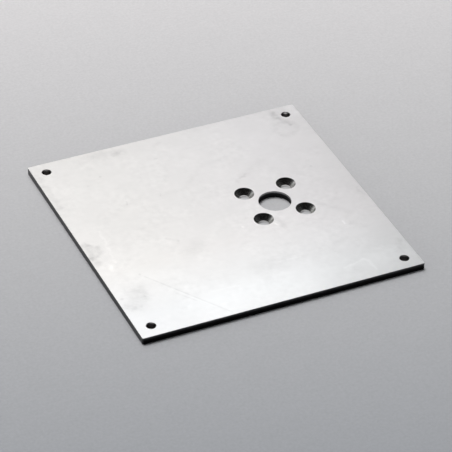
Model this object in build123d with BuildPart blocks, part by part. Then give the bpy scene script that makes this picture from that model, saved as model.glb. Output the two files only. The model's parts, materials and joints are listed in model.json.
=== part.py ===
from build123d import *
import os

# Square cover plate, cut from flat aluminium. Four plain holes fix it at its corners. Towards
# one side it has a bore with four countersunk screw holes on a square round it, for a small
# flanged device. The origin is the middle of the underside, +Z is up, +X points to the bore.

# Plate
plate_length = 200.0        # along X
plate_width = 200.0         # along Y
plate_thickness = 5.0
corner_radius = 1.0         # the four upright corners
edge_break = 0.15           # burr removed from every sharp edge and hole mouth

# Fixing holes, one in each corner
corner_hole_diameter = 6.6
corner_hole_inset = 10.0    # from each side of the plate to the hole's centre

# Device seat
seat_offset = 39.0          # from the middle of the plate to the bore's centre, along X
bore_diameter = 22.2
screw_spacing = 31.0        # side of the square that the screw centres stand on
screw_hole_diameter = 6.8   # clearance for a quarter-inch screw
countersink_diameter = 13.5
countersink_angle = 82

corner_hole_spacing_x = plate_length - 2 * corner_hole_inset
corner_hole_spacing_y = plate_width - 2 * corner_hole_inset
countersink_radius = countersink_diameter / 2

with BuildPart() as cover_plate:
    # Blank with its upright corners rounded
    with BuildSketch():
        Rectangle(plate_length, plate_width)
        fillet(vertices(), corner_radius)
    extrude(amount=plate_thickness)

    # Everything is drilled from the top face, down through the plate
    with Locations((0, 0, plate_thickness)):
        with GridLocations(corner_hole_spacing_x, corner_hole_spacing_y, 2, 2):
            Hole(corner_hole_diameter / 2)
    with Locations((seat_offset, 0, plate_thickness)):
        Hole(bore_diameter / 2)
        with GridLocations(screw_spacing, screw_spacing, 2, 2):
            CounterSinkHole(
                radius=screw_hole_diameter / 2,
                counter_sink_radius=countersink_radius,
                counter_sink_angle=countersink_angle,
            )

    # Both faces keep a fine broken edge all round and at each hole. The countersinks are the
    # exception: their cones already run out to a crisp rim.
    face_edges = faces().filter_by(Axis.Z).edges()
    countersink_rims = face_edges.filter_by(GeomType.CIRCLE).filter_by(
        lambda rim: abs(rim.radius - countersink_radius) < edge_break
    )
    chamfer(face_edges - countersink_rims, edge_break)

cover_plate.part.label = "cover_plate"

os.makedirs("parts", exist_ok=True)
export_step(cover_plate.part, "parts/cover_plate.step")
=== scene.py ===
import bpy
import json
import math
import numpy as np
from mathutils import Matrix, Vector
from mathutils.geometry import delaunay_2d_cdt


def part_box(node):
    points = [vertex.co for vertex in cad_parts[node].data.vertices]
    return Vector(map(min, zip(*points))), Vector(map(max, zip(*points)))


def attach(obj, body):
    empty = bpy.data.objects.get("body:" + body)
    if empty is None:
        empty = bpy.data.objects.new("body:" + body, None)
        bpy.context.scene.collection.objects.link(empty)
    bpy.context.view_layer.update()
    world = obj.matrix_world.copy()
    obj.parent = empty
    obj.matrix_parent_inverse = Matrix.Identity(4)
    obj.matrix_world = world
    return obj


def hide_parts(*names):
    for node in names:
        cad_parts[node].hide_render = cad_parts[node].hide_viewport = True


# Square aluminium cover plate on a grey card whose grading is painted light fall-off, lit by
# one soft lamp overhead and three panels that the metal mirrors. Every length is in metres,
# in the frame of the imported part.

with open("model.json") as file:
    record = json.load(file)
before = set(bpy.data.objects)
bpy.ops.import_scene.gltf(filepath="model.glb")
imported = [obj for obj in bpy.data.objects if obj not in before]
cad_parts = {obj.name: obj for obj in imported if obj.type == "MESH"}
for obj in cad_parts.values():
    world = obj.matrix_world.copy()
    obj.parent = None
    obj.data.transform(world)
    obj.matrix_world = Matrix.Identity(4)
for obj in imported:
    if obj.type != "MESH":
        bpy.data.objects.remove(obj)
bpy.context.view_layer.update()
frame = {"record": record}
mm = 0.001
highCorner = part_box("cover_plate")[1]
mounts = {mount["name"]: mount for mount in frame["record"]["mounts"]}
print("frame loaded")


def hexToLinear(hexColour):
    # sRGB hex to linear light: the lower part is a straight line, the rest a 2.4 power curve
    srgb = np.array([int(hexColour[i:i + 2], 16) / 255 for i in (1, 3, 5)])
    linear = np.where(srgb <= 0.04045, srgb / 12.92, ((srgb + 0.055) / 1.055) ** 2.4)
    return (*linear.tolist(), 1.0)


def addNode(tree, kind, inputs=None, **settings):
    # adds one node, sets its properties, then fills its sockets with values or with links
    node = tree.nodes.new(kind)
    for name, value in settings.items():
        setattr(node, name, value)
    for socket, value in (inputs or {}).items():
        if isinstance(value, bpy.types.NodeSocket):
            tree.links.new(value, node.inputs[socket])
        else:
            node.inputs[socket].default_value = value
    return node


def newMaterial(name):
    material = bpy.data.materials.new(name)
    material.use_nodes = True
    tree = material.node_tree
    tree.nodes.clear()
    shader = addNode(tree, "ShaderNodeBsdfPrincipled")
    addNode(tree, "ShaderNodeOutputMaterial", {"Surface": shader.outputs["BSDF"]})
    return material, tree, shader


plate = {
    "cornerRadius": 1.0 * mm,        # upright corners
    "edgeBreak": 0.15 * mm,          # arrises rounded over by hand
    "countersinkWidth": 13.5 * mm,   # across the rim
    "countersinkAngle": 82,          # degrees, the whole cone
    "ringPitch": 0.55 * mm,          # tool marks down the countersink, measured in height
    "ringDepth": 0.012 * mm,
    "holdRow": 1.4,                  # a wall has an extra row this many edge breaks from its ends
    "landHold": 0.2 * mm,            # and the screw hole has one this far below its countersink
    "sideSteps": 320,                # points along each side
    "cornerSteps": 12,               # round each corner
    "circleSteps": 144,              # round each hole
    "breakSteps": 4,                 # across each broken edge
    "coneSteps": 80,                 # down each countersink
    "sharpAngle": 40,                # degrees: sharper edges than this stay crisp
}


def roundedPath(halfX, halfY, radius, sideSteps, cornerSteps):
    # Walks anticlockwise round a rectangle's corner centres. On a side the core point slides
    # and the outward normal stands still; in a corner the core stands still and it turns.
    coreX, coreY = halfX - radius, halfY - radius
    corners = np.array([(-coreX, -coreY), (coreX, -coreY), (coreX, coreY), (-coreX, coreY)])
    core, normal = [], []
    for side in range(4):
        start, end = corners[side], corners[(side + 1) % 4]
        turn = math.radians(90 * (side - 1))
        slide = np.linspace(0, 1, sideSteps, endpoint=False)[:, None]
        core.append(start + (end - start) * slide)
        normal.append(np.tile((math.cos(turn), math.sin(turn)), (sideSteps, 1)))
        sweep = turn + np.linspace(0, math.pi / 2, cornerSteps, endpoint=False)
        core.append(np.tile(end, (cornerSteps, 1)))
        normal.append(np.stack([np.cos(sweep), np.sin(sweep)], 1))
    return np.concatenate(core), np.concatenate(normal)


def circlePath(centre, steps):
    # the core is the hole's axis, and the normal turns once round it
    turn = np.linspace(0, 2 * math.pi, steps, endpoint=False)
    return np.tile(centre, (steps, 1)), np.stack([np.cos(turn), np.sin(turn)], 1)


def sweepProfile(core, normal, profile):
    # grid point = core + normal * profile distance, raised to the profile height
    flat = core[:, None, :] + normal[:, None, :] * profile[None, :, :1]
    height = np.broadcast_to(profile[None, :, 1:], flat.shape[:2] + (1,))
    return np.concatenate([flat, height], 2)


def gridFaces(first, rows, columns, flip):
    # quads between neighbouring rows and columns of a grid that closes on itself by rows
    row, column = np.meshgrid(np.arange(rows), np.arange(columns - 1), indexing="ij")
    after = (row + 1) % rows
    corners = [row * columns + column, row * columns + column + 1,
               after * columns + column + 1, after * columns + column]
    quads = first + np.stack(corners, -1).reshape(-1, 4)
    return quads[:, ::-1] if flip else quads


def roundedBreak(distance, size, top, outward, steps):
    # quarter circle from the flat face round to the upright wall
    turn = np.linspace(0, math.pi / 2, steps + 1)
    away = distance + outward * size * (np.sin(turn) - 1)
    return np.stack([away, top - size * (1 - np.cos(turn))], 1)


def wallProfile(settings, distance, top, outward):
    # broken arris, upright wall with a holding row near each end, broken arris
    upper = roundedBreak(distance, settings["edgeBreak"], top, outward, settings["breakSteps"])
    lower = upper[::-1] * (1, -1) + (0, top)
    inset = settings["holdRow"] * settings["edgeBreak"]
    hold = np.array([(distance, top - inset), (distance, inset)])
    return np.concatenate([upper, hold, lower])


def countersinkProfile(settings, holeRadius, top):
    # straight cone with a fine cosine ripple for the tool marks, then the short upright land
    # of the screw hole and its broken lower arris
    rim = settings["countersinkWidth"] / 2
    slope = math.tan(math.radians(settings["countersinkAngle"] / 2))
    depth = (rim - holeRadius) / slope
    drop = np.linspace(0, depth, settings["coneSteps"])
    ripple = settings["ringDepth"] * (1 - np.cos(2 * math.pi * drop / settings["ringPitch"])) / 2
    ripple *= np.clip(np.minimum(drop, depth - drop) / settings["ringPitch"], 0, 1)
    cone = np.stack([rim - drop * slope + ripple, top - drop], 1)
    upper = roundedBreak(holeRadius, settings["edgeBreak"], top, -1, settings["breakSteps"])
    lower = upper[::-1] * (1, -1) + (0, top)
    inset = settings["holdRow"] * settings["edgeBreak"]
    hold = np.array([(holeRadius, top - depth - settings["landHold"]), (holeRadius, inset)])
    return np.concatenate([cone, hold, lower]), len(cone)


def flatFace(points, loops, holes, top):
    # fills the outline less its holes with triangles that use the rings' own points
    edges = np.concatenate([np.stack([loop, np.roll(loop, -1)], 1) for loop in loops])
    ids = np.concatenate(loops)
    local = {point: i for i, point in enumerate(ids)}
    flat = [Vector(xy) for xy in points[ids, :2].tolist()]
    wanted = [(local[a], local[b]) for a, b in edges.tolist()]
    insideOutline, tolerance = 1, 1e-9
    made = delaunay_2d_cdt(flat, wanted, [], insideOutline, tolerance)
    source = np.array([own[0] for own in made[3]])
    faces = ids[source[np.array(made[2])]]
    middle = points[faces, :2].mean(1)
    for centre, radius in holes:
        faces = faces[np.linalg.norm(middle - centre, axis=1) > radius]
        middle = points[faces, :2].mean(1)
    edgeA = points[faces[:, 1], :2] - points[faces[:, 0], :2]
    edgeB = points[faces[:, 2], :2] - points[faces[:, 0], :2]
    upward = edgeA[:, 0] * edgeB[:, 1] - edgeA[:, 1] * edgeB[:, 0] > 0
    faces[upward != top] = faces[upward != top][:, ::-1]
    return faces


def patternCentres(mount):
    # the four corners of a rectangular bolt pattern
    x, y = mount["pos_m"][:2]
    dx, dy = (mount["dims"][key] * mm / 2 for key in ("spacing_x_mm", "spacing_y_mm"))
    return [np.array((x + i * dx, y + j * dy)) for i in (-1, 1) for j in (-1, 1)]


def buildPlate(settings, materials):
    # one mesh: the sides, hole walls and countersinks are swept profiles, and the two flat faces
    # are filled between the rings in which those profiles end
    halfX, halfY, top = highCorner.x, highCorner.y, highCorner.z
    radius = settings["cornerRadius"]
    face, cut, bored, drilled, cone, land = range(6)
    points, quads, slots, spokes = [], [], [], []
    topLoops, bottomLoops, topHoles, bottomHoles = [], [], [], []

    def addSurface(core, normal, profile, bands, flip):
        first = sum(len(block) for block in points)
        grid = sweepProfile(core, normal, profile)
        rows, columns = grid.shape[:2]
        points.append(grid.reshape(-1, 3))
        quads.append(gridFaces(first, rows, columns, flip))
        slots.append(np.tile(bands, rows))
        # round its own axis each point knows its direction and how far down it is
        depth = np.broadcast_to((top - grid[..., 2:]) / mm, (rows, columns, 1))
        direction = np.broadcast_to(normal[:, None, :], (rows, columns, 2))
        spokes.append(np.concatenate([direction, depth], 2).reshape(-1, 3))
        ring = first + np.arange(rows) * columns
        topLoops.append(ring)
        bottomLoops.append(ring + columns - 1)

    def wallBands(profile, wall):
        steps = settings["breakSteps"]
        bands = np.full(len(profile) - 1, wall)
        bands[:steps] = face
        bands[-steps:] = face
        return bands

    core, normal = roundedPath(halfX, halfY, radius, settings["sideSteps"], settings["cornerSteps"])
    profile = wallProfile(settings, radius, top, 1)
    addSurface(core, normal, profile, wallBands(profile, cut), False)

    bore = mounts["device_bore"]
    plain = [(np.array(bore["pos_m"][:2]), bore["dims"]["r_mm"] * mm, bored)]
    cornerRadius = mounts["corner_screws"]["dims"]["hole_r_mm"] * mm
    plain += [(centre, cornerRadius, drilled) for centre in patternCentres(mounts["corner_screws"])]
    for centre, holeRadius, wall in plain:
        core, normal = circlePath(centre, settings["circleSteps"])
        profile = wallProfile(settings, holeRadius, top, -1)
        addSurface(core, normal, profile, wallBands(profile, wall), True)
        topHoles.append((centre, holeRadius))
        bottomHoles.append((centre, holeRadius))

    screwRadius = mounts["device_screws"]["dims"]["hole_r_mm"] * mm
    profile, coneRows = countersinkProfile(settings, screwRadius, top)
    bands = np.full(len(profile) - 1, land)
    bands[:coneRows - 1] = cone
    bands[-settings["breakSteps"]:] = face
    for centre in patternCentres(mounts["device_screws"]):
        core, normal = circlePath(centre, settings["circleSteps"])
        addSurface(core, normal, profile, bands, True)
        topHoles.append((centre, settings["countersinkWidth"] / 2))
        bottomHoles.append((centre, screwRadius))

    allPoints = np.concatenate(points)
    upper = flatFace(allPoints, topLoops, topHoles, True)
    lower = flatFace(allPoints, bottomLoops, bottomHoles, False)
    walls = np.concatenate(quads)

    mesh = bpy.data.meshes.new("coverPlateSurface")
    mesh.from_pydata(allPoints.tolist(), [], walls.tolist() + upper.tolist() + lower.tolist())
    slot = np.concatenate(slots + [np.full(len(upper) + len(lower), face)]).astype(np.int32)
    mesh.polygons.foreach_set("material_index", slot)
    spoke = mesh.attributes.new("spoke", "FLOAT_VECTOR", "POINT")
    spoke.data.foreach_set("vector", np.concatenate(spokes).astype(np.float32).ravel())
    mesh.update()
    mesh.set_sharp_from_angle(angle=math.radians(settings["sharpAngle"]))
    smooth = np.arange(len(mesh.polygons)) < len(walls)      # the two flat faces stay flat
    mesh.polygons.foreach_set("use_smooth", smooth)
    for material in materials:
        mesh.materials.append(material)
    piece = bpy.data.objects.new("coverPlateSurface", mesh)
    bpy.context.collection.objects.link(piece)
    return piece


def objectPlace(tree):
    # the point's own place on the plate, in millimetres
    place = addNode(tree, "ShaderNodeTexCoord").outputs["Object"]
    return addNode(tree, "ShaderNodeVectorMath", {0: place, "Scale": 1 / mm},
                   operation="SCALE").outputs[0]


def spokePlace(tree):
    # kept on the mesh: the direction away from the hole's axis, and millimetres below the top
    return addNode(tree, "ShaderNodeAttribute", attribute_name="spoke").outputs["Vector"]


def grain(tree, place, size, finer):
    # noise about zero: size is one patch length or one for each axis, and finer is how many
    # smaller sizes lie over it
    sizes = size if isinstance(size, tuple) else (size, size, size)
    scaled = addNode(tree, "ShaderNodeVectorMath", {0: place, 1: [1 / length for length in sizes]},
                     operation="MULTIPLY").outputs[0]
    noise = addNode(tree, "ShaderNodeTexNoise", {"Vector": scaled, "Scale": 1.0, "Detail": finer})
    return addNode(tree, "ShaderNodeMath", {0: noise.outputs["Fac"], 1: 0.5},
                   operation="SUBTRACT").outputs[0]


def addGrains(tree, place, grains):
    # one noise for each name
    return {name: grain(tree, place, size, finer) for name, (size, finer) in grains.items()}


def addUp(tree, start, parts):
    # start plus every part times its own weight
    total = start
    for part, weight in parts:
        total = addNode(tree, "ShaderNodeMath", {0: part, 1: weight, 2: total},
                        operation="MULTIPLY_ADD").outputs[0]
    return total


def weigh(patterns, weights):
    # each named pattern with its weight, as addUp takes them
    return [(patterns[name], weight) for name, weight in weights.items()]


def strokeMask(tree, place, start, end, width, ring):
    # one along the stroke, fading to nothing a width away; a ring fades from its own radius
    (x0, y0), (x1, y1) = start, end
    half = math.hypot(x1 - x0, y1 - y0) / 2
    # the huge scale along Z leaves the height out
    local = addNode(tree, "ShaderNodeMapping", {"Vector": place, "Scale": (1, 1, 1e6),
                    "Location": ((x0 + x1) / 2, (y0 + y1) / 2, 0),
                    "Rotation": (0, 0, math.atan2(y1 - y0, x1 - x0))}, vector_type="TEXTURE").outputs[0]
    folded = addNode(tree, "ShaderNodeVectorMath", {0: local}, operation="ABSOLUTE").outputs[0]
    beyond = addNode(tree, "ShaderNodeVectorMath", {0: folded, 1: (half, 0, 0)},
                     operation="SUBTRACT").outputs[0]
    clipped = addNode(tree, "ShaderNodeVectorMath", {0: beyond, 1: (0, 0, 0)},
                      operation="MAXIMUM").outputs[0]
    away = addNode(tree, "ShaderNodeVectorMath", {0: clipped}, operation="LENGTH").outputs["Value"]
    if ring:
        away = addNode(tree, "ShaderNodeMath", {0: away, 1: ring}, operation="SUBTRACT").outputs[0]
        away = addNode(tree, "ShaderNodeMath", {0: away}, operation="ABSOLUTE").outputs[0]
    return addNode(tree, "ShaderNodeMapRange", {"Value": away, "From Min": 0.0, "From Max": width,
                   "To Min": 1.0, "To Max": 0.0}, interpolation_type="SMOOTHSTEP").outputs[0]


def addMarks(tree, place, marks):
    # each mark is added as soon as it is made, which keeps the shader small enough for Cycles
    total = 0.0
    for start, end, width, strength, ring in marks.values():
        total = addUp(tree, total, [(strokeMask(tree, place, start, end, width, ring), strength)])
    return total


def finishMetal(tree, shader, settings, colour, patterns):
    # bare metal: the patterns add up to a tone, which brightens or darkens the colour, and to
    # a roughness and a height, each by its own weights
    tone = addUp(tree, 0.0, weigh(patterns, settings["toneFrom"]))
    gain = addNode(tree, "ShaderNodeMath", {0: tone, 1: 1.0}, operation="ADD").outputs[0]
    shade = addNode(tree, "ShaderNodeVectorMath", {0: colour, "Scale": gain},
                    operation="SCALE").outputs[0]
    rough = addUp(tree, settings["roughness"], weigh(patterns, settings["roughnessFrom"]))
    height = addUp(tree, 0.0, weigh(patterns, settings["heightFrom"]))
    relief = addNode(tree, "ShaderNodeBump", {"Height": height, "Distance": settings["bump"] * mm})
    tree.links.new(shade, shader.inputs["Base Color"])
    tree.links.new(rough, shader.inputs["Roughness"])
    tree.links.new(relief.outputs["Normal"], shader.inputs["Normal"])
    shader.inputs["Metallic"].default_value = 1.0


sheetFinish = {
    "colour": "#f3f1f2",
    # tints: where along the axis each one starts and is full, in millimetres
    "tints": {
        "X": ("#f4f2f0", 60.0, -60.0),       # warmer towards -X
        "Y": ("#f0f1f2", -30.0, -80.0),      # cooler towards -Y
    },
    "roughness": 0.32,
    # noise: patch size in millimetres, then how many smaller sizes lie over it
    "grains": {
        "clouds": (40.0, 3.0),                   # handling and oxide
        "mottle": (4.0, 4.0),
        "mottlePlaces": (22.0, 2.0),             # where the mottle is strong
        "rollLines": ((70.0, 0.7, 1.0), 3.0),    # left by the rolling mill, along X
        "breaks": ((3.5, 3.5, 1.0), 3.0),        # where the marks are worn away
    },
    "blotches": (13.0, 3.0),         # the same, with ragged outlines
    "wander": (5.0, 4.0),            # the same, for the raggedness itself
    "wanderReach": 7.0,              # millimetres: outlines move by up to half of this
    "mottleRange": (-0.12, 0.15),    # noise between which the mottle grows strong
    "mottleShare": (0.25, 1.0),      # how much of it shows where it is weak and strong
    "markBreaks": 2.4,
    "toneFrom": {"marks": 1.0, "paintedSheen": 1.0, "clouds": 0.10, "blotches": 0.07,
                 "mottle": 0.18, "rollLines": 0.04},
    "roughnessFrom": {"clouds": 0.06, "mottle": -0.04, "rollLines": 0.05, "marks": -0.3},
    "heightFrom": {"rollLines": 0.6, "mottle": 1.0, "marks": 3.0},
    "bump": 0.004,                   # millimetres of height for each one that these add up to
    # marks: start and end in millimetres, fade width, tone, ring radius (0 for a stroke).
    # Scratches are straight, stains ragged, and the shades, which are painted sheen, broad and even.
    # scratches and nicks are real marks with relief; where their tone is positive, the extra brightness is
    # a painted glint of their facets catching the light
    "scratches": {
        "long scratch": ((-74, -42), (-37, -97.5), 0.9, -0.075, 0),
        "long scratch head": ((-76, -38.5), (-76, -39), 1.5, -0.09, 0),
        "lit flank": ((-63, -61), (-44, -89), 0.9, 0.025, 0),
        "beside it": ((-62, -66), (-53, -78), 0.8, -0.05, 0),
        "under the seat": ((13, -61.5), (28, -62), 1.0, 0.035, 0),
        "front left light": ((-42, -73), (-18, -74.5), 1.4, 0.02, 0),
        "streak": ((-45, -10), (-39, -15), 1.9, -0.045, 0),
        "streak head": ((-38.5, -15.5), (-38.5, -15.5), 1.6, -0.06, 0),
        "dash": ((-54, 34.5), (-53, 38), 1.1, -0.09, 0),
        "small dash": ((-29.5, 35), (-28.5, 37.5), 0.9, -0.05, 0),
        "nick": ((7, -18), (7, -18.5), 1.5, 0.11, 0),
        "seat nick": ((28.5, -23.5), (29.5, -25), 1.1, 0.14, 0),
        "right nick": ((71, -38), (71, -41), 1.1, 0.11, 0),
        "dot": ((-58.5, 71), (-58.5, 71), 1.7, -0.12, 0),
        "second dot": ((-70, 64), (-70, 64), 1.9, -0.06, 0),
        "third dot": ((-16, 76), (-15, 76), 1.6, -0.07, 0),
        "right dot": ((79, 27), (79, 27), 1.5, -0.09, 0),
        "left edge spot": ((-96.5, -58), (-96.5, -58), 2.0, -0.12, 0),
        "cloud dot": ((-82, -60.5), (-81.5, -61), 1.4, -0.08, 0),
        "cloud dot low": ((-88, -70), (-88, -70), 1.8, -0.05, 0),
    },
    "stains": {
        "left edge rub": ((-82.5, 14), (-85.5, -21), 1.5, 0.035, 0),
        "front right rub": ((49, -84), (65, -80.5), 1.7, 0.05, 0),
        "front right rub, down": ((66, -81), (68, -92), 1.7, 0.06, 0),
        "corner, beside the hole": ((82, 95), (82, 88), 3.6, -0.13, 0),
        "corner, below the hole": ((84, 86), (88, 79), 3.6, -0.09, 0),
        "corner core": ((88, 78), (88, 77), 2.4, -0.12, 0),
        "corner ring": ((83, 74), (83, 74), 3.4, -0.04, 8.0),
        "corner haze": ((96, 97), (98, 90), 7.0, 0.06, 0),
        "left ring": ((-98.5, -4), (-98.5, -4), 3.2, -0.09, 8.0),
        "left ring core": ((-94, -1), (-93, -5), 2.6, -0.08, 0),
        "left foot": ((-97, 2), (-97, -18), 4.0, -0.10, 0),
        "light left": ((-90, -21), (-90, -27), 3.5, 0.06, 0),
        "lighter spot": ((-79, -28), (-79, -28), 2.5, 0.04, 0),
        "front left cloud": ((-86, -54), (-90, -68), 11.0, -0.06, 0),
        "front left cloud inner": ((-80, -53), (-82, -63), 6.0, -0.05, 0),
        "front left edge": ((-97, -66), (-93, -70), 4.0, -0.06, 0),
        "front left lighter": ((-72, -44), (-52, -46), 9.0, 0.02, 0),
        "left edge, towards the back": ((-97, 84), (-97, 48), 4.0, -0.06, 0),
        "back edge": ((-56, 95), (-34, 93), 6.0, -0.07, 0),
        "back edge core": ((-40, 91), (-37, 92), 3.5, -0.07, 0),
        "back edge speck": ((-10, 91), (-6, 93), 2.6, -0.04, 0),
        "middle": ((-36, -30), (-28, -25), 10.0, -0.04, 0),
        "front middle": ((-2, -62), (12, -66), 10.0, -0.035, 0),
        "front middle edge": ((6, -55), (18, -63), 3.5, -0.03, 0),
        "crease": ((-28, 35), (-10, 37), 3.5, -0.025, 0),
        "crease bend": ((-6, 41), (6, 52), 3.5, -0.025, 0),
        "crease end": ((10, 56), (30, 58), 3.5, -0.02, 0),
        "by the seat": ((25, 30), (32, 35), 2.8, -0.06, 0),
        "by the seat, wide": ((32, 35), (49, 45), 5.5, -0.035, 0),
        "under the seat shade": ((31, -19), (33, -28), 3.5, -0.05, 0),
        "right of the seat": ((66, -15), (80, -30), 4.0, -0.035, 0),
        "right front": ((75, -42), (83, -49), 3.0, -0.035, 0),
        "front right smudge": ((56, -59), (66, -55), 4.0, -0.025, 0),
        "right edge": ((97, -6), (97, -16), 2.5, -0.06, 0),
        "right edge low": ((96, -70), (92, -84), 3.0, -0.05, 0),
    },
    # painted sheen: the top lighter towards the front and dimmer in the middle, as the lamps' reflection
    # falls
    "paintedSheen": {
        "front lighter": ((-40, -86), (16, -88), 34.0, 0.078, 0),
        "front right lighter": ((70, -84), (98, -84), 16.0, 0.045, 0),
        "dimmer middle": ((-66, 10), (66, 10), 80.0, -0.062, 0),
    },
}


def rolledSheet(settings):
    # rolled aluminium as it leaves the mill: pale, softly reflecting, with faint clouds where
    # it was handled, hair scratches, and lines left by the rolls
    material, tree, shader = newMaterial("millFinishAluminium")
    place = objectPlace(tree)
    patterns = addGrains(tree, place, settings["grains"])

    size, finer = settings["wander"]
    wander = addNode(tree, "ShaderNodeTexNoise", {"Vector": place, "Scale": 1 / size, "Detail": finer})
    centred = addNode(tree, "ShaderNodeVectorMath", {0: wander.outputs["Color"], 1: (0.5, 0.5, 0.5)},
                      operation="SUBTRACT").outputs[0]
    reach = settings["wanderReach"]
    ragged = addNode(tree, "ShaderNodeVectorMath", {0: centred, 1: (reach, reach, 0), 2: place},
                     operation="MULTIPLY_ADD").outputs[0]
    patterns["blotches"] = grain(tree, ragged, *settings["blotches"])

    # the fine mottle comes and goes over the sheet
    (low, high), (weak, strong) = settings["mottleRange"], settings["mottleShare"]
    share = addNode(tree, "ShaderNodeMapRange", {"Value": patterns["mottlePlaces"], "From Min": low,
                    "From Max": high, "To Min": weak, "To Max": strong},
                    interpolation_type="SMOOTHSTEP").outputs[0]
    patterns["mottle"] = addNode(tree, "ShaderNodeMath", {0: patterns["mottle"], 1: share},
                                 operation="MULTIPLY").outputs[0]

    # scratches and stains are broken up, and the shades, painted sheen, are left even
    scratches = addMarks(tree, place, settings["scratches"])
    stains = addMarks(tree, ragged, settings["stains"])
    patterns["paintedSheen"] = addMarks(tree, place, settings["paintedSheen"])
    whole = addNode(tree, "ShaderNodeMath", {0: scratches, 1: stains}, operation="ADD").outputs[0]
    uneven = addUp(tree, 1.0, [(patterns["breaks"], settings["markBreaks"])])
    patterns["marks"] = addNode(tree, "ShaderNodeMath", {0: whole, 1: uneven},
                                operation="MULTIPLY").outputs[0]

    colour = hexToLinear(settings["colour"])
    split = addNode(tree, "ShaderNodeSeparateXYZ", {0: place})
    for axis, (tint, start, full) in settings["tints"].items():
        share = addNode(tree, "ShaderNodeMapRange", {"Value": split.outputs[axis],
                        "From Min": start, "From Max": full}).outputs[0]
        colour = addNode(tree, "ShaderNodeMix", {"Factor": share, 6: colour, 7: hexToLinear(tint)},
                         data_type="RGBA").outputs[2]
    finishMetal(tree, shader, settings, colour, patterns)
    return material


edgeFinish = {
    "colour": "#0c0c0d",         # sides facing Y, painted nearly black as shade
    "paintedLitSideColour": "#303031",    # sides facing X, painted lighter: the lit copy of the same edge
    "paintedSheenTopColour": "#4a4a4b",      # painted sheen: a lighter band along the top, standing for the lit floor reflected there
    "lipDepth": 2.4,             # millimetres from the top face
    "roughness": 0.34,
    # noise: patch size in millimetres along X, Y and Z, then how many smaller sizes
    "grains": {"streaks": ((0.5, 0.5, 9.0), 3.0), "patches": ((9.0, 9.0, 5.0), 2.0)},
    "toneFrom": {"streaks": 0.9, "patches": 0.9},
    "roughnessFrom": {"streaks": 0.2},
    "heightFrom": {"streaks": 1.0},
    "bump": 0.02,
}


def cutEdge(settings):
    # sheared edge with fine upright drag lines, its tone painted light and shade: sides facing Y
    # nearly black as shade, sides facing X lighter, and a lighter painted sheen along the top
    material, tree, shader = newMaterial("cutEdgePaintedShade")
    patterns = addGrains(tree, objectPlace(tree), settings["grains"])
    # painted light and shade: the side's colour goes by which way it faces
    normal = addNode(tree, "ShaderNodeTexCoord").outputs["Normal"]
    facing = addNode(tree, "ShaderNodeSeparateXYZ", {0: normal}).outputs["X"]
    litSideShare = addNode(tree, "ShaderNodeMath", {0: facing}, operation="ABSOLUTE").outputs[0]
    colour = addNode(tree, "ShaderNodeMix", {"Factor": litSideShare, 6: hexToLinear(settings["colour"]),
                     7: hexToLinear(settings["paintedLitSideColour"])}, data_type="RGBA").outputs[2]
    down = addNode(tree, "ShaderNodeSeparateXYZ", {0: spokePlace(tree)}).outputs["Z"]
    # painted sheen, fading out down from the top face
    lip = addNode(tree, "ShaderNodeMapRange", {"Value": down, "From Min": 0.0,
                  "From Max": settings["lipDepth"], "To Min": 1.0, "To Max": 0.0},
                  interpolation_type="SMOOTHSTEP").outputs[0]
    colour = addNode(tree, "ShaderNodeMix", {"Factor": lip, 6: colour,
                     7: hexToLinear(settings["paintedSheenTopColour"])}, data_type="RGBA").outputs[2]
    finishMetal(tree, shader, settings, colour, patterns)
    return material


# what the bore and the corner holes have in common
holeWall = {
    # noise: patch size in hole radii across and millimetres down, then how many smaller sizes
    "grains": {"rings": ((1.0, 1.0, 1 / 6), 3.0), "tears": ((1 / 14, 1 / 14, 2.5), 3.0)},
    "bandCut": {"tears": 1.2, "paintedGlint": -0.8},   # millimetres taken off the band, or added to it
    # the colour of the painted glints
    "paintedGlintColour": "#f2f1ef",
    "toneFrom": {"rings": 0.3, "tears": 0.7},
    "roughnessFrom": {"paintedShade": 0.2, "rings": 0.15, "paintedGlint": -0.26},
    "heightFrom": {"rings": 0.5, "tears": 1.5},
    "bump": 0.012,
}
# punched through: a grey band below the rim, painted as the lit floor's reflection, and nearly black below
# it, painted shade
boreFinish = {
    **holeWall,
    "name": "punchedAluminium",
    "colour": "#9a9a9b",         # the band below the upper rim, lighter as a painted reflection
    "paintedShadeColour": "#262627",    # painted shade below it
    "paintedShadeRange": (0.65, 1.95),   # millimetres down, from the band to the painted shade
    "roughness": 0.34,
    "paintedGlints": {},              # painted glints on the wall, given as the sheet's marks are; none here
}
# drilled: a grey band below the rim, painted lighter as a reflection, darker below as painted shade, and a
# painted glint on each hole's far side
cornerHoleFinish = {
    **holeWall,
    "name": "drilledAluminiumPaintedLightAndShade",
    "colour": "#8a8888",
    "paintedShadeColour": "#545050",
    "paintedShadeRange": (0.5, 1.5),
    "roughness": 0.4,
    # painted glints: bright spots high on each hole's far wall, standing for a reflection of the lamps
    "paintedGlints": {
        "back right": ((91.4, 93.0), (91.4, 93.0), 2.6, 1.0, 0),
        "back left": ((-89.0, 93.2), (-89.0, 93.2), 2.6, 0.5, 0),
        "front left": ((-88.0, -87.0), (-88.0, -87.0), 2.6, 0.35, 0),
        "front right": ((91.2, -86.8), (91.2, -86.8), 2.6, 0.2, 0),
    },
}


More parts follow.
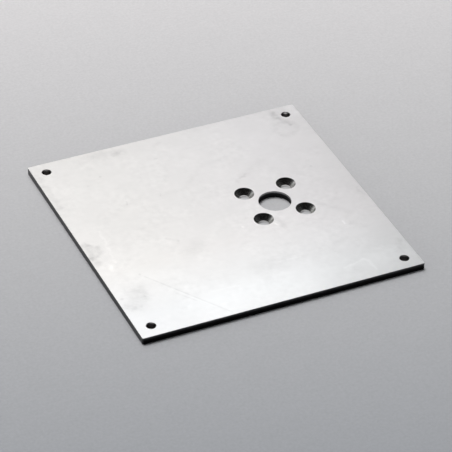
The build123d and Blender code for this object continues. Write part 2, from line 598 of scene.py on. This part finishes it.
def plainWall(settings):
    # a band below the rim painted lighter as a reflection, then rougher metal painted darker as shade
    material, tree, shader = newMaterial(settings["name"])
    spoke = spokePlace(tree)
    patterns = addGrains(tree, spoke, settings["grains"])
    # painted glints, which lighten the band and make it smoother
    patterns["paintedGlint"] = addMarks(tree, objectPlace(tree), settings["paintedGlints"])
    # the band's lower edge is ragged, and runs deeper under the painted glints
    down = addNode(tree, "ShaderNodeSeparateXYZ", {0: spoke}).outputs["Z"]
    depth = addUp(tree, down, weigh(patterns, settings["bandCut"]))
    # painted shade: from the band down, the wall turns to the darker colour
    start, end = settings["paintedShadeRange"]
    patterns["paintedShade"] = addNode(tree, "ShaderNodeMapRange", {"Value": depth, "From Min": start,
                               "From Max": end}, interpolation_type="SMOOTHSTEP").outputs[0]
    band = addNode(tree, "ShaderNodeMix", {"Factor": patterns["paintedGlint"],
                   6: hexToLinear(settings["colour"]), 7: hexToLinear(settings["paintedGlintColour"])},
                   data_type="RGBA").outputs[2]
    colour = addNode(tree, "ShaderNodeMix", {"Factor": patterns["paintedShade"], 6: band,
                     7: hexToLinear(settings["paintedShadeColour"])}, data_type="RGBA").outputs[2]
    finishMetal(tree, shader, settings, colour, patterns)
    return material


coneFinish = {
    "colour": "#d8d8d6",
    "roughness": 0.17,
    "anisotropic": 0.4,          # the rings draw highlights out down the cone
    "rubbedRange": (2.0, 3.6),   # millimetres down: the cutter rubbed next to the hole
    # noise: patch size in radii across and millimetres down, then how many smaller sizes
    "grains": {"rings": ((5 / 3, 5 / 3, 0.2), 2.0), "chatter": ((1 / 7, 1 / 7, 25 / 3), 2.0)},
    "toneFrom": {"rings": 0.3, "chatter": 0.4},
    "roughnessFrom": {"rings": 0.1, "chatter": 0.15, "rubbed": 0.05},
    "heightFrom": {"rings": 1.0, "chatter": 0.5},
    "bump": 0.01,
}


def turnedCone(settings):
    # fresh cut by the countersink: bright, with rings down the cone and faint chatter marks
    # that run towards the hole
    material, tree, shader = newMaterial("countersunkAluminium")
    spoke = spokePlace(tree)
    patterns = addGrains(tree, spoke, settings["grains"])
    down = addNode(tree, "ShaderNodeSeparateXYZ", {0: spoke}).outputs["Z"]
    start, end = settings["rubbedRange"]
    patterns["rubbed"] = addNode(tree, "ShaderNodeMapRange", {"Value": down, "From Min": start,
                                 "From Max": end}, interpolation_type="SMOOTHSTEP").outputs[0]
    finishMetal(tree, shader, settings, hexToLinear(settings["colour"])[:3], patterns)
    # highlights run straight down the flank: outward by the sine of its angle, up by the cosine
    half = math.radians(plate["countersinkAngle"] / 2)
    outward = (math.sin(half), math.sin(half), 0)
    flank = addNode(tree, "ShaderNodeVectorMath", {0: spoke, 1: outward, 2: (0, 0, math.cos(half))},
                    operation="MULTIPLY_ADD").outputs[0]
    shader.inputs["Anisotropic"].default_value = settings["anisotropic"]
    tree.links.new(flank, shader.inputs["Tangent"])
    return material


landFinish = {
    "colour": "#f6f5f3",
    "roughness": 0.16,
    "grains": {"rings": ((1.25, 1.25, 1 / 6), 2.0)},     # given as the cone's are
    "toneFrom": {"rings": 0.15},
    "roughnessFrom": {"rings": 0.12},
    "heightFrom": {"rings": 1.0},
    "bump": 0.004,
}


def drilledLand(settings):
    # drilled aluminium, bright and nearly smooth
    material, tree, shader = newMaterial("drilledAluminium")
    patterns = addGrains(tree, spokePlace(tree), settings["grains"])
    finishMetal(tree, shader, settings, hexToLinear(settings["colour"])[:3], patterns)
    return material


# in the order in which buildPlate numbers its surfaces
finishes = [rolledSheet(sheetFinish), cutEdge(edgeFinish), plainWall(boreFinish),
            plainWall(cornerHoleFinish), turnedCone(coneFinish), drilledLand(landFinish)]
coverPlate = buildPlate(plate, finishes)
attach(coverPlate, "root")
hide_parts("cover_plate")
print("plate built:", len(coverPlate.data.polygons), "faces")


cameraSetup = {
    "turn": 25.44,          # degrees round from the front, towards the plate's -X side
    "elevation": 36.74,
    "roll": 1.54,
    "distance": 1.752,
    "aim": (-2.94 * mm, -12.89 * mm),   # on the top face, from the plate's middle
    "lens": 210.7,          # millimetres, as is the sensor's width
    "sensor": 36,
}


def buildCamera(settings):
    turn, rise = math.radians(settings["turn"]), math.radians(settings["elevation"])
    back = Vector((-math.sin(turn) * math.cos(rise), -math.cos(turn) * math.cos(rise), math.sin(rise)))
    camera = bpy.data.objects.new("camera", bpy.data.cameras.new("camera"))
    camera.data.lens = settings["lens"]
    camera.data.sensor_width = settings["sensor"]
    roll = Matrix.Rotation(math.radians(settings["roll"]), 3, "Z")
    rolled = back.to_track_quat("Z", "Y").to_matrix() @ roll
    aim = Vector((*settings["aim"], highCorner.z))
    camera.matrix_world = Matrix.Translation(aim + back * settings["distance"]) @ rolled.to_4x4()
    bpy.context.collection.objects.link(camera)
    bpy.context.scene.camera = camera


buildCamera(cameraSetup)
print("camera placed")


paper = {
    "reach": 12.0,      # metres from the middle to each side
    "turn": 15.0,       # degrees from +Y towards +X: the direction in which the tone changes
    # distance that way from the plate's middle in millimetres, and the card's tone there, graded as
    # painted light fall-off
    "tones": [(-700, "#c8c8ca"), (-300, "#a0a3a8"), (0, "#c2c2c4"), (300, "#dcdadb")],
    # tooth: strength, patch size in millimetres, then how many smaller sizes lie over it
    "tooth": [(0.18, 1.8, 2.0), (0.08, 4.0, 2.0), (0.04, 18.0, 2.0)],
    "roughness": 0.9,
}


def paperMaterial(settings):
    # matt card with a faint tooth, its tone graded as painted light fall-off: pale behind the
    # plate, grey in front of it and paler again further out
    material, tree, shader = newMaterial("greyCard")
    shader.inputs["Roughness"].default_value = settings["roughness"]
    shader.inputs["Specular IOR Level"].default_value = 0.0
    place = addNode(tree, "ShaderNodeTexCoord").outputs["Object"]
    turned = addNode(tree, "ShaderNodeMapping", {"Vector": place,
                     "Rotation": (0, 0, math.radians(settings["turn"]))})
    split = addNode(tree, "ShaderNodeSeparateXYZ", {"Vector": turned.outputs["Vector"]})
    near, far = settings["tones"][0][0], settings["tones"][-1][0]
    along = addNode(tree, "ShaderNodeMapRange", {"Value": split.outputs["Y"],
                    "From Min": near * mm, "From Max": far * mm}).outputs["Result"]
    ramp = addNode(tree, "ShaderNodeValToRGB", {"Fac": along})
    stops = ramp.color_ramp.elements
    for index, (at, tone) in enumerate(settings["tones"]):
        stop = stops[index] if index < 2 else stops.new(1.0)
        stop.position = (at - near) / (far - near)
        stop.color = hexToLinear(tone)
    placeMm = objectPlace(tree)
    keep = addUp(tree, 1.0, [(grain(tree, placeMm, size, finer), strength)
                             for strength, size, finer in settings["tooth"]])
    tone = addNode(tree, "ShaderNodeVectorMath", {0: ramp.outputs["Color"], "Scale": keep},
                   operation="SCALE")
    tree.links.new(tone.outputs["Vector"], shader.inputs["Base Color"])
    return material


def buildPaper(settings):
    reach = settings["reach"]
    corners = [(-reach, -reach, 0), (reach, -reach, 0), (reach, reach, 0), (-reach, reach, 0)]
    mesh = bpy.data.meshes.new("paper")
    mesh.from_pydata(corners, [], [(0, 1, 2, 3)])
    mesh.materials.append(paperMaterial(settings))
    sheet = bpy.data.objects.new("paper", mesh)
    bpy.context.collection.objects.link(sheet)


lighting = {
    "overheadLevel": 1.88,           # far off, so it lights the whole sheet evenly
    "overheadSize": 28.0,            # degrees across
    "overheadFrom": (-0.05, 0.29, 1.0),
    # panels: level, width, height, then degrees round from +Y, up from the horizon, and leaning
    "panelDistance": 1.5,
    "panels": {
        "backPanel": (1.3, 1.1, 1.2, 11.5, 53.0, 0.0),      # the sheet metal mirrors this one
        "leftPanel": (0.80, 1.4, 0.32, -59.5, 47.0, 42.0),  # shows in the countersinks' flanks
        "rightPanel": (0.13, 1.4, 0.32, 110.4, 47.0, -42.0),
    },
    # surroundings: the metal mirrors them and they add a little light, and the camera sees the
    # backdrop in their place. A side's fade starts and ends at these cosines of the angle from
    # its middle, and the horizon's at these heights of a unit direction.
    "surroundLevel": 0.006,
    "horizonLevel": 0.46,            # the room just over the horizon
    "horizonFade": (0.17, 0.47),
    "windowGain": 1.5,
    "windowFrom": (-0.90, 0.43, 0),
    "windowFade": (0.0, 0.85),
    "darkLevel": 0.05,
    "darkFrom": (0.98, 0.08, 0),
    "darkFade": (0.6, 0.9),
    "ceilingLevel": 0.8,             # shows when the plate is looked down on
    "ceilingFade": (0.90, 0.97),
    "backdrop": "#dcdadb",
}


def addLamp(name, kind, place, settings, mirrored, lean=0.0):
    # a lamp at the place, or far off in its direction, turned to face the plate; the metal
    # mirrors it or not
    data = bpy.data.lights.new(name, kind)
    for setting, value in settings.items():
        setattr(data, setting, value)
    lamp = bpy.data.objects.new(name, data)
    lamp.location = place
    facing = Vector(place).to_track_quat("Z", "Y").to_matrix()
    lamp.rotation_euler = (facing @ Matrix.Rotation(lean, 3, "Z")).to_euler()
    lamp.visible_camera = False
    lamp.visible_glossy = mirrored
    bpy.context.collection.objects.link(lamp)


def buildLighting(settings):
    addLamp("overheadLamp", "SUN", settings["overheadFrom"],
            {"energy": settings["overheadLevel"], "angle": math.radians(settings["overheadSize"])}, False)
    for name, (level, width, height, turn, rise, lean) in settings["panels"].items():
        turn, rise = math.radians(turn), math.radians(rise)
        away = Vector((math.sin(turn) * math.cos(rise), math.cos(turn) * math.cos(rise), math.sin(rise)))
        shape = {"shape": "RECTANGLE", "size": width, "size_y": height,
                 "energy": level * math.pi * width * height}
        addLamp(name, "AREA", away * settings["panelDistance"], shape, True, math.radians(lean))

    world = bpy.data.worlds.new("studio")
    bpy.context.scene.world = world
    world.use_nodes = True
    tree = world.node_tree
    tree.nodes.clear()
    # a paler band of room just over the horizon, with a window side and a dark side, and a
    # ceiling round the overhead lamp
    towards = addNode(tree, "ShaderNodeTexCoord").outputs["Generated"]

    def sideways(direction, fade, low, high):
        along = addNode(tree, "ShaderNodeVectorMath", {0: towards, 1: direction},
                        operation="DOT_PRODUCT").outputs["Value"]
        return addNode(tree, "ShaderNodeMapRange", {"Value": along, "From Min": fade[0],
                       "From Max": fade[1], "To Min": low, "To Max": high},
                       interpolation_type="SMOOTHSTEP").outputs[0]

    window = sideways(settings["windowFrom"], settings["windowFade"], 1.0, settings["windowGain"])
    dark = sideways(settings["darkFrom"], settings["darkFade"], settings["horizonLevel"],
                    settings["darkLevel"])
    horizon = addNode(tree, "ShaderNodeMath", {0: window, 1: dark}, operation="MULTIPLY").outputs[0]
    up = addNode(tree, "ShaderNodeSeparateXYZ", {"Vector": towards}).outputs["Z"]
    start, end = settings["horizonFade"]
    low = addNode(tree, "ShaderNodeMapRange", {"Value": up, "From Min": start, "From Max": end,
                  "To Min": horizon, "To Max": settings["surroundLevel"]},
                  interpolation_type="SMOOTHSTEP").outputs[0]
    overhead = Vector(settings["overheadFrom"]).normalized()
    high = sideways(overhead, settings["ceilingFade"], 0.0, settings["ceilingLevel"])
    level = addNode(tree, "ShaderNodeMath", {0: low, 1: high}, operation="ADD")
    surround = addNode(tree, "ShaderNodeBackground", {"Color": (1, 1, 1, 1), "Strength": level.outputs[0]})
    shown = addNode(tree, "ShaderNodeBackground", {"Color": hexToLinear(settings["backdrop"])})
    path = addNode(tree, "ShaderNodeLightPath")
    mixed = addNode(tree, "ShaderNodeMixShader", {"Fac": path.outputs["Is Camera Ray"],
                    1: surround.outputs["Background"], 2: shown.outputs["Background"]})
    addNode(tree, "ShaderNodeOutputWorld", {"Surface": mixed.outputs["Shader"]})


buildPaper(paper)
buildLighting(lighting)
bpy.context.scene.view_settings.view_transform = "Standard"
print("paper and lamps placed")
